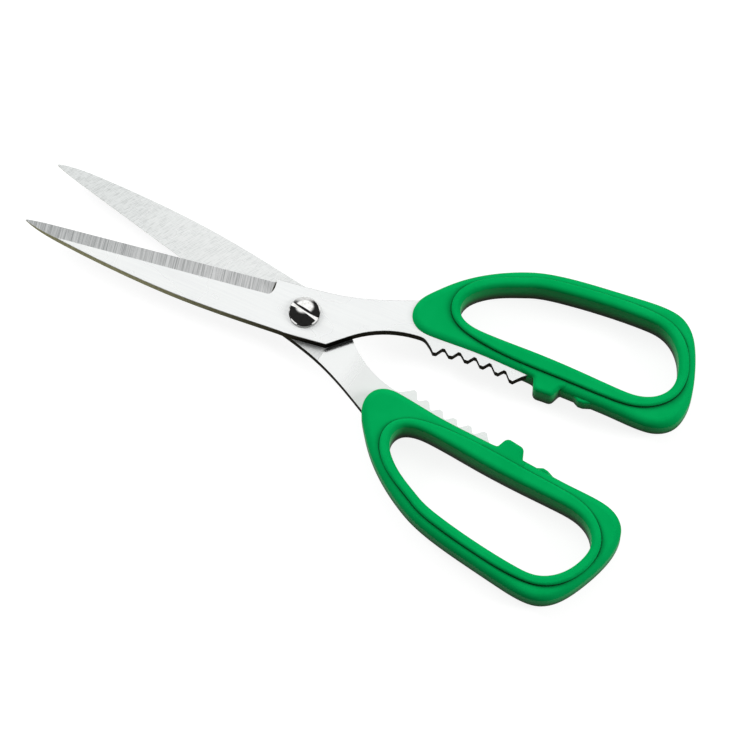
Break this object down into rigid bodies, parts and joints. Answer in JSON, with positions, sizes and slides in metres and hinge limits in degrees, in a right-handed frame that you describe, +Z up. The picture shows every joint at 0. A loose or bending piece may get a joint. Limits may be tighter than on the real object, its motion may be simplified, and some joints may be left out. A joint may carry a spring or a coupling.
{
  "type": "poultry shears",
  "caption": "Shears for cutting poultry: bevelled steel blades on a slotted pivot screw, toothed tangs and green moulded finger-loop grips with stop bumps.",
  "frame": {"origin": "on the table under the pivot, on the pivot's axis, at the underside of the grips, nut and stem", "axes": "+X along the centre line between the two halves, from the pivot to the grips; +Z up from the table along the pivot's axis; +Y towards the front half's grip"},
  "size_m": [0.2069, 0.1016, 0.012],
  "materials": {
    "blade_steel": "satin ground, fine grinding lines",
    "screw_steel": "polished, slotted head",
    "fastener_steel": "plain zinc-plated",
    "green_plastic": "satin moulded plastic"
  },
  "bodies": {
    "rear_half": {"rear_blade": "blade_steel", "rear_handle": "green_plastic", "pivot_screw": "screw_steel", "spring_washer": "fastener_steel", "pivot_nut": "fastener_steel"},
    "front_half": {"front_blade": "blade_steel", "front_handle": "green_plastic"}
  },
  "joints": [
    {"name": "pivot_hinge", "type": "hinge", "parent": "rear_half", "child": "front_half", "pos_m": [0, 0, 0.006], "axis": [0, 0, 1], "range_deg": [-13.2, 122]}
  ]
}
